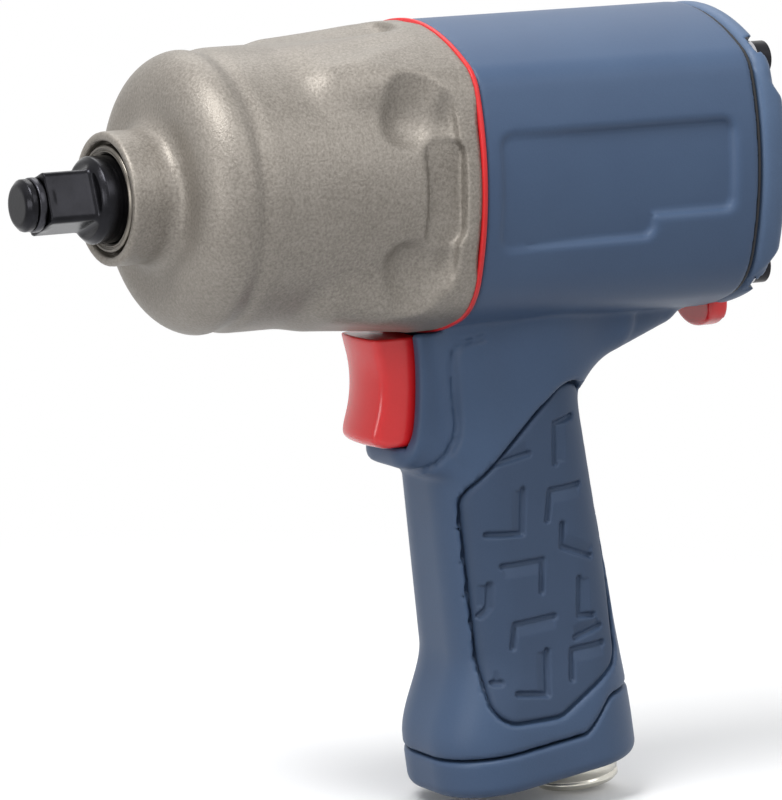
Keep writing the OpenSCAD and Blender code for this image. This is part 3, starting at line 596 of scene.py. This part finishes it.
def housing_shape(x, y, z):
    across, down = in_handle(x, z)
    ay = np.abs(y)
    barrel = blended_max(barrel_outline(y, z), np.abs(x + 128) - 38.5, 1.0)
    skin = grip_skin(across, y, down)
    handle = blended_max(np.maximum(skin, 20 - down), down - base_seam(across) + 0.35, 1.2)
    web = np.minimum(bent_bar(x, y, z, (-120, -44), (-138, -38), (17, 15), (8.4, 8.4)),
                     bent_bar(x, y, z, (-138, -38), (-154, -33.4), (15, 11), (8.4, 8.4)))
    lip = np.minimum(bent_bar(x, y, z, (-98.5, -36), (-98.5, -66), (17, 16), (6, 7)),
                     bent_bar(x, y, z, (-98, -69), (-84, -67.2), (15.5, 10.5), (8, 3.9)))
    # A groove parts the trigger collar from the grip
    seam = np.full_like(ay + across, 99.0)
    for a, b in zip(collar_seam, collar_seam[1:]):
        seam = np.minimum(seam, off_line(across, down, a, b)[0])
    collar_depth = np.abs(x + 92) - 7.4 - 0.006 * (z + 50) ** 2
    collar = blended_max(rounded_box(y, z + 51.5, 12.6, 18.3, 6), collar_depth, 1.5)
    lip = blended_min(lip, collar, 3)
    grip = blended_min(handle, web, 9)
    body = blended_min(grip, lip, 1.2)
    body = body + seam_depth * np.clip(1 - seam / seam_depth, 0, 1)
    body = blended_min(body, barrel, 1.6)
    # Room for the case and its gasket above the lip
    body = cut_away(body, np.maximum(barrel_outline(y, z) - 0.7, -x - 89.5), 0.6)
    # The long shallow recess in each side
    recess = np.minimum(rounded_box(x + 116, z + 1, 21, 13.2, 2.5),
                        rounded_box(x + 144.5, z - 1.6, 15, 10.6, 2.5))
    sunk = 0.2 + 1.5 * ease(-x, 90, 122)
    body = blended_max(body, -np.maximum(recess, -barrel_outline(y, z) - sunk), 2.4)
    # Pockets of the two soft panels
    pocket = np.maximum(np.maximum(panel_outline(across, down) - 0.8, -skin - 2.0), 9.6 - ay)
    body = blended_max(body, -pocket, 0.8)
    # Bores for motor, screws, valve and trigger
    body = cut_away(body, plug(x, y, z, 80, 170, 26.55), 0.4)
    body = cut_away(body, plug(x, y, z, 80, 92.5, 31.2), 0.4)
    for lean in (1, -1):
        body = cut_away(body, plug(x, ay, z, 80, 170, bolt_hole, bolt_y, bolt_z * lean), 0.3)
    body = cut_away(body, plug(x, y, z, 148.5, 170, 4.06, 0, lever_z), 0.3)
    slot = np.maximum(rounded_box(y, z - trigger_z, 9.1, 13.8, 0.6), np.abs(x + 76) - 17)
    body = cut_away(body, slot, 0.8)
    body = cut_away(body, plug(x, y, z, 92, 126, 7.05, 0, trigger_z), 0.4)
    inlet = np.hypot(across + inlet_behind, y)
    body = cut_away(body, np.maximum(inlet - 6, 55 - down), 0.4)
    body = cut_away(body, np.maximum(inlet - 8.2, 127.5 - down), 0.4)
    body = cut_away(body, np.maximum(np.hypot(across - 4, ay - 11.8) - 3.6, 24 - down), 0.4)
    return cut_away(body, np.maximum(np.hypot(across - 19, ay - 10) - 1.6, 129.5 - down), 0.3)


housing = skinned("motor_housing_moulding", housing_shape, (-167.3, -37.3, -147.2), (-72.3, 37.3, 38.9), 0.95)
housing_blue = finish_of("slate_nylon", "40536f", "475b77", 0.46, 0.05, grain=2400, depth=0.000028,
                         patches=30, fleck=0.35, specular=0.3)
made_of(housing, housing_blue, "housing", "housing_blue", "motor_housing")

# ---- Grip panels ----
# Soft overmoulded pads let into both sides of the handle, with angled grooves for grip.
grooves = [((-7, 73), (-8.5, 63.5), (-14, 63)), ((10, 69.5), (0, 69)), ((3, 77.5), (5, 88), (14, 86.5)),
           ((-13, 80), (-4.5, 79.5), (-2.5, 86.5)), ((-6.5, 88.5), (-5.5, 94), (-13.5, 98.5)),
           ((11.5, 95), (0.5, 96), (2, 103.5)), ((18, 106.5), (16, 104.5), (15, 99)),
           ((-0.5, 110.5), (10.5, 110), (12, 115.5)), ((-9, 103), (-7.5, 112), (-11.5, 113)),
           ((-5.5, 117.2), (-13, 116.2)), ((-13, 120.5), (-4, 120), (-2.5, 127)),
           ((3, 118.5), (5, 129), (13, 127)), ((18, 123.3), (16.5, 123.5))]
groove_depth, groove_half_width = 1.15, 0.7
ramp_depth, ramp_width = 0.85, 3.2


def long_arm(run):
    """The longer arm of an angled groove, and the far end of the other arm."""
    if len(run) == 2 or math.dist(run[0], run[1]) > math.dist(run[1], run[2]):
        return run[0], run[1], run[-1]
    return run[1], run[2], run[0]


def panel_shape(side):
    def shape(x, y, z):
        across, down = in_handle(x, z)
        skin = grip_skin(across, y, down)
        pad = blended_max(panel_outline(across, down), skin + 0.12, 1.3)
        pad = np.maximum(pad, -skin - 1.9)
        pad = blended_max(pad, 10.4 - side * y, 0.8)
        depth = np.zeros_like(pad)
        for run in grooves:
            for a, b in zip(run, run[1:]):
                gap = off_line(across, down, a, b)[0]
                depth = np.maximum(depth, groove_depth * np.clip(1.5 - gap / groove_half_width, 0, 1))
            # The longer arm of each angle is a ramp that ends at its groove
            a, b, c = long_arm(run)
            d = (b[0] - a[0], b[1] - a[1])
            span = math.hypot(*d)
            t = ((across - a[0]) * d[0] + (down - a[1]) * d[1]) / span ** 2
            lean = ((across - a[0]) * d[1] - (down - a[1]) * d[0]) / span
            lean = lean * (1 if (c[0] - a[0]) * d[1] - (c[1] - a[1]) * d[0] > 0 else -1)
            ramp = ramp_depth * np.clip(1 - lean / ramp_width, 0, 1) * np.clip((lean + 0.3) / 0.3, 0, 1)
            depth = np.maximum(depth, ramp * np.clip((0.5 - np.abs(t - 0.5)) * span / 0.35, 0, 1))
        return np.maximum(pad, skin + 0.12 + depth)
    return shape


panel_blue = finish_of("soft_grip", "3a4a61", "41516a", 0.54, 0.05, grain=2600, depth=0.00002,
                       patches=30, fleck=0.35, specular=0.25)
for side, name, nearest, farthest in ((1, "left", 2, 23.5), (-1, "right", -23.5, -2)):
    low, high = (-144, nearest, -138), (-86, farthest, -51)
    panel = skinned("grip_panel_pad_" + name, panel_shape(side), low, high, 0.42)
    made_of(panel, panel_blue, "housing", "panel_blue", "grip_panel_" + name)

# ---- End cover and its gasket ----
# A moulded cover over the rear bearing, held by the four long screws in its corners.
cover_gasket = outline_ring("end_cover_seal", 166.55, 167.35, -0.5, 27)
dark_sheet = finish_of("dark_gasket_sheet", "1b1b1d", "242427", 0.7, 0.08, grain=1200, depth=0.00003)
made_of(cover_gasket, dark_sheet, "housing", "gasket_dark", "end_cover_gasket")
cover_blue = finish_of("cover_nylon", "4b5f7b", "546986", 0.45, 0.05, grain=2400, depth=0.000028,
                       patches=30, fleck=0.35, specular=0.3)


def cover_shape(x, y, z):
    ay = np.abs(y)
    outline = barrel_outline(y, z) + 0.05
    plate = blended_max(outline, np.abs(x + 170.4) - 3.0, 3.4)
    plate = np.maximum(plate, x + 167.42)
    # The middle stands proud, with sloping ends above and below
    band = np.maximum(z - 22 + 0.9 * (-x - 169.9), -z - 26 + 0.9 * (-x - 169.9))
    block = blended_max(blended_max(outline, -x - 175.4, 3.2), blended_max(band, x + 168.5, 0.6), 1.4)
    body = blended_min(plate, block, 1.2)
    spigot = plug(x, y, z, 158.2, 168, 26.4)
    body = np.minimum(body, spigot)
    body = cut_away(body, plug(x, y, z, 150, 169.4, 10), 0.4)
    for lean in (1, -1):
        body = cut_away(body, plug(x, ay, z, 160, 180, bolt_hole, bolt_y, bolt_z * lean), 0.3)
        body = cut_away(body, plug(x, ay, z, 169.9, 180, 5.4, bolt_y, bolt_z * lean), 0.6)
    lever_room = np.maximum(np.hypot(y, z - lever_z) - 12.1, z + 25.6)
    lever_room = np.minimum(lever_room, np.maximum(ay - 12.5, z - lever_z))
    body = cut_away(body, np.maximum(lever_room, x + 169.5), 0.6)
    return cut_away(body, plug(x, y, z, 150, 175, 4.06, 0, lever_z), 0.3)


cover = skinned("end_cover_moulding", cover_shape, (-176.2, -37.3, -38.9), (-157.4, 37.3, 38.9), 0.62)
made_of(cover, cover_blue, "housing", "cover_blue", "end_cover")

# ---- Screws ----
# Four long black steel screws with socket heads run from the end cover's corners, through
# the housing, into the case flange, and clamp all three together.


def screw_tree(name, material):
    """Geometry Nodes: a socket-head screw at each point, its head uppermost along the point's axis."""
    tree = bpy.data.node_groups.new(name, "GeometryNodeTree")
    face = tree.interface
    face.new_socket("Geometry", in_out="INPUT", socket_type="NodeSocketGeometry")
    for label in ("Head Radius", "Head Height", "Shank Radius", "Shank Length", "Socket Radius",
                  "Socket Depth"):
        face.new_socket(label, in_out="INPUT", socket_type="NodeSocketFloat")
    face.new_socket("Turn", in_out="INPUT", socket_type="NodeSocketRotation")
    face.new_socket("Geometry", in_out="OUTPUT", socket_type="NodeSocketGeometry")
    nodes, links = tree.nodes, tree.links
    sizes, out = nodes.new("NodeGroupInput"), nodes.new("NodeGroupOutput")

    def cylinder(sides, radius, height):
        made = nodes.new("GeometryNodeMeshCylinder")
        made.inputs["Vertices"].default_value = sides
        for socket, value in (("Radius", radius), ("Depth", height)):
            if isinstance(value, str):
                links.new(sizes.outputs[value], made.inputs[socket])
            else:
                links.new(value, made.inputs[socket])
        return made.outputs["Mesh"]

    def moved(mesh, height):
        place, shift = nodes.new("ShaderNodeCombineXYZ"), nodes.new("GeometryNodeTransform")
        links.new(height, place.inputs["Z"])
        links.new(mesh, shift.inputs["Geometry"])
        links.new(place.outputs[0], shift.inputs["Translation"])
        return shift.outputs[0]

    def sum_of(kind, a, b):
        made = nodes.new("ShaderNodeMath")
        made.operation = kind
        for i, value in enumerate((a, b)):
            if isinstance(value, float):
                made.inputs[i].default_value = value
            else:
                links.new(value, made.inputs[i])
        return made.outputs[0]

    height, length = sizes.outputs["Head Height"], sizes.outputs["Shank Length"]
    head = moved(cylinder(48, "Head Radius", "Head Height"), sum_of("MULTIPLY", height, 0.5))
    bore = moved(cylinder(6, "Socket Radius", sum_of("MULTIPLY", sizes.outputs["Socket Depth"], 2.0)), height)
    hollow = nodes.new("GeometryNodeMeshBoolean")
    hollow.operation = "DIFFERENCE"
    hollow.solver = "EXACT"
    links.new(head, hollow.inputs["Mesh 1"])
    links.new(bore, hollow.inputs["Mesh 2"])
    shank = moved(cylinder(32, "Shank Radius", "Shank Length"), sum_of("MULTIPLY", length, -0.5))
    joined = nodes.new("GeometryNodeJoinGeometry")
    links.new(shank, joined.inputs[0])
    links.new(hollow.outputs["Mesh"], joined.inputs[0])
    spread = nodes.new("GeometryNodeInstanceOnPoints")
    links.new(sizes.outputs["Geometry"], spread.inputs["Points"])
    links.new(joined.outputs[0], spread.inputs["Instance"])
    links.new(sizes.outputs["Turn"], spread.inputs["Rotation"])
    real, coat = nodes.new("GeometryNodeRealizeInstances"), nodes.new("GeometryNodeSetMaterial")
    coat.inputs["Material"].default_value = material
    links.new(spread.outputs[0], real.inputs[0])
    links.new(real.outputs[0], coat.inputs["Geometry"])
    links.new(coat.outputs[0], out.inputs[0])
    return tree


def screws(name, tree, places, sizes, turn):
    """Runs the tree on its places, in millimetres, and keeps the result as a plain mesh."""
    holder = bpy.data.meshes.new(name)
    holder.from_pydata([tuple(c * mm for c in p) for p in places], [], [])
    made = bpy.data.objects.new(name, holder)
    bpy.context.scene.collection.objects.link(made)
    worker = made.modifiers.new("screws", "NODES")
    worker.node_group = tree
    for item in tree.interface.items_tree:
        if item.in_out == "INPUT" and item.name in sizes:
            worker[item.identifier] = sizes[item.name] * mm
        if item.in_out == "INPUT" and item.name == "Turn":
            worker[item.identifier] = turn
    plain = bpy.data.meshes.new_from_object(made.evaluated_get(bpy.context.evaluated_depsgraph_get()))
    made.modifiers.remove(worker)
    made.data = plain
    return made


screw_steel = finish_of("black_screw_steel", "1d1d20", "2c2c30", 0.32, 0.08, metal=0.85, grain=1200,
                        depth=0.00001, patches=200)
screw_maker = screw_tree("socket_head_screws", screw_steel)
head_seat = -170.9
bolt_places = [(head_seat, y, z) for y in (bolt_y, -bolt_y) for z in (bolt_z, -bolt_z)]
bolt_sizes = {"Head Radius": 4.4, "Head Height": 4, "Shank Radius": 2.48, "Shank Length": 92.6,
              "Socket Radius": 2.3, "Socket Depth": 2}
heads_backwards = (0, -math.pi / 2, 0)
bolts = screws("long_screws", screw_maker, bolt_places, bolt_sizes, heads_backwards)
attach(bolts, "housing")
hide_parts("through_bolts")

# ---- Trigger ----
# A glossy red moulding pinned to the throttle stem, its front dished for the finger.
red_plastic = finish_of("red_nylon", "ea1a1e", "f2262a", 0.25, 0.04, grain=2000, depth=0.00001,
                        patches=40, coat=0.25)


def trigger_shape(x, y, z):
    # The front is dished up and down and crowned from side to side
    crown = 0.02 * y * y
    block = blended_max(-65.5 - z, x + 72.1 + crown, 5)
    block = blended_max(block, 28.4 - np.hypot(x + 46.2 + crown, z + 50.6), 1.5)
    block = blended_max(block, np.abs(y) - 8.8, 1.8)
    block = blended_max(block, z + 38.5, 0.6)
    block = np.maximum(block, -86 - x)
    return cut_away(block, plug(x, y, z, 80, 90, 2.42, 0, trigger_z), 0.2)


trigger = skinned("trigger_moulding", trigger_shape, (-86.8, -9.6, -66.4), (-71.2, 9.6, -37.6), 0.4)
made_of(trigger, red_plastic, "trigger", "red_plastic", "trigger")

# ---- Reversing lever ----
# A red paddle on the end of the reversing valve, turned by the thumb below the cover.


def lever_shape(x, y, z):
    reach = np.hypot(y, z - lever_z)
    hub = reach - 5.8
    paddle = blended_max(blended_max(reach - 11.6, np.abs(y) - 8.4, 1.6), z - lever_z, 1)
    body = blended_max(np.minimum(hub, paddle), np.abs(x + 172.6) - 2.8, 1.2)
    ribs = np.maximum(np.abs(np.mod(y + 1.5, 3) - 1.5) - 0.5, np.maximum(z + 38.5, x + 174.8))
    body = blended_max(body, -ribs, 0.4)
    body = cut_away(body, plug(x, y, z, 165, 180, 1.4, 0, lever_z), 0.2)
    return cut_away(body, plug(x, y, z, 173, 180, 3, 0, lever_z), 0.3)


lever = skinned("reversing_lever", lever_shape, (-176, -12.5, -44.4), (-169.2, 12.5, -25.4), 0.38)
made_of(lever, red_plastic, "lever", "red_plastic", "reverse_lever")

# ---- Base cap and air inlet ----
# A nylon cap closes the foot of the handle over the muffler, with slots for the exhaust;
# the nickel-plated inlet bushing screws in through it.


def cap_shape(x, y, z):
    across, down = in_handle(x, z)
    skin = grip_skin(across, y, np.minimum(down, base_down))
    body = blended_max(skin, base_seam(across) + 0.35 - down, 1.2)
    body = blended_max(body, down - 151.5, 3.2)
    body = cut_away(body, np.maximum(rounded_box(across - 14.75, y, 11.2, 15.7, 6), down - 146.2), 0.4)
    body = cut_away(body, np.hypot(across + inlet_behind, y) - 8.3, 0.6)
    for lean in (1, -1):
        hole = np.hypot(across - 19, y - 10 * lean)
        body = cut_away(body, np.minimum(hole - 1.9, np.maximum(hole - 3.3, 148.2 - down)), 0.3)
    slots = np.maximum(np.abs(np.mod(y + 2, 4) - 2) - 0.9, np.abs(y) - 8)
    return cut_away(body, np.maximum(slots, np.abs(across - 11.5) - 2.6), 0.4)


cap = skinned("base_cap_moulding", cap_shape, (-157.5, -23.3, -158), (-70, 23.3, -119), 0.66)
made_of(cap, housing_blue, "housing", "housing_blue", "base_cap")

mouth, thread_turns, thread_root, thread_crest = 159.0, 12, 5.9, 5.56
thread = []
for k in range(thread_turns):
    thread += [(mouth - k - 0.1, thread_root), (mouth - k - 0.55, thread_crest)]
inlet_profile = [(130.5, 4.4), (130.5, 8.15), (135.1, 8.15), (135.2, 6.95), (137.4, 6.95), (137.5, 8.15),
                 (151.5, 8.15), (151.55, 10.1), (152.1, 10.6), (156.4, 10.6), (156.7, 10.3),
                 (157.0, 10.3), (157.3, 10.6), (158.3, 10.6), (mouth, 9.9), (mouth, 6.6)]
inlet_profile += thread + [(146.9, 4.4)]
inlet = turned("inlet_bushing_turned", inlet_profile)
# Turned along the spindle, then stood in the raked handle
upright = Matrix.Translation((-inlet_behind * mm, 0, 0)) @ Matrix.Rotation(-math.pi / 2, 4, "Y")
inlet.data.transform(Matrix.Translation((-handle_root * mm, 0, 0)) @ Matrix.Rotation(rake, 4, "Y") @ upright)
nickel = finish_of("nickel_plate", "c9c6bb", "dad7cd", 0.22, 0.05, metal=0.9, grain=900, depth=0.000008,
                   patches=150)
made_of(inlet, nickel, "housing", "nickel", "inlet_bushing")

# ---- Inner pieces and small parts that keep their CAD shape ----
# Bearings, rotor, hammers, valve parts, seals and springs, each in its own metal, rubber or fibre.
dark_steel = finish_of("heat_treated_steel", "55555a", "67676c", 0.36, 0.08, metal=0.9, grain=1000,
                       depth=0.00001, patches=180)
bright_steel = finish_of("ground_steel", "b4b4b8", "c6c6ca", 0.2, 0.05, metal=1.0, grain=700,
                         depth=0.000006, patches=180, stretch=(0.2, 1, 1))
alloy = finish_of("machined_alloy", "a8a9ad", "bcbdc1", 0.34, 0.06, metal=0.95, grain=900,
                  depth=0.00001, patches=160)
bronze = finish_of("sintered_bronze", "a37b45", "b68d55", 0.38, 0.07, metal=0.9, grain=1600,
                   depth=0.00003, patches=160)
rubber = finish_of("black_nitrile", "151516", "1f1f21", 0.55, 0.06, grain=1400, depth=0.00001)
# The throttle spring between valve and seat keeps its CAD shape, copied into a mesh of its own
spring_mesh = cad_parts["throttle_spring"].data.copy()
spring = bpy.data.objects.new("throttle_return_spring", spring_mesh)
bpy.context.scene.collection.objects.link(spring)
spring.data.materials.clear()
made_of(spring, bright_steel, "housing", "bright_steel", "throttle_spring")
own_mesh(spring)
fibre = finish_of("laminated_fibre", "6e4a2c", "855d3a", 0.6, 0.08, grain=600, depth=0.00002,
                  stretch=(1, 6, 1))
felt = finish_of("muffler_felt", "5a5a58", "747471", 0.9, 0.05, grain=700, depth=0.0002, fleck=0.6)
finishes = [
    (dark_steel, ["hammer_frame", "hammer_front", "hammer_rear", "rotor", "hammer_pins", "clamp_washer"]),
    (bright_steel, ["bolt_washers", "front_bearing_outer", "front_bearing_inner", "front_bearing_balls",
                    "rear_bearing_outer", "rear_bearing_inner", "rear_bearing_balls", "cylinder_dowel",
                    "trigger_stem", "detent_ball", "detent_spring", "reverse_valve", "lever_screw",
                    "inlet_screen", "base_cap_screws"]),
    (alloy, ["front_end_plate", "motor_cylinder", "rear_end_plate", "valve_seat"]),
    (bronze, ["trigger_bushing"]),
    (rubber, ["retainer_o_ring", "stem_o_ring", "inlet_o_ring", "throttle_valve"]),
    (fibre, ["rotor_vanes"]),
    (felt, ["exhaust_muffler"]),
]
for material, names in finishes:
    for name in names:
        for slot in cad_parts[name].material_slots:
            slot.material = material
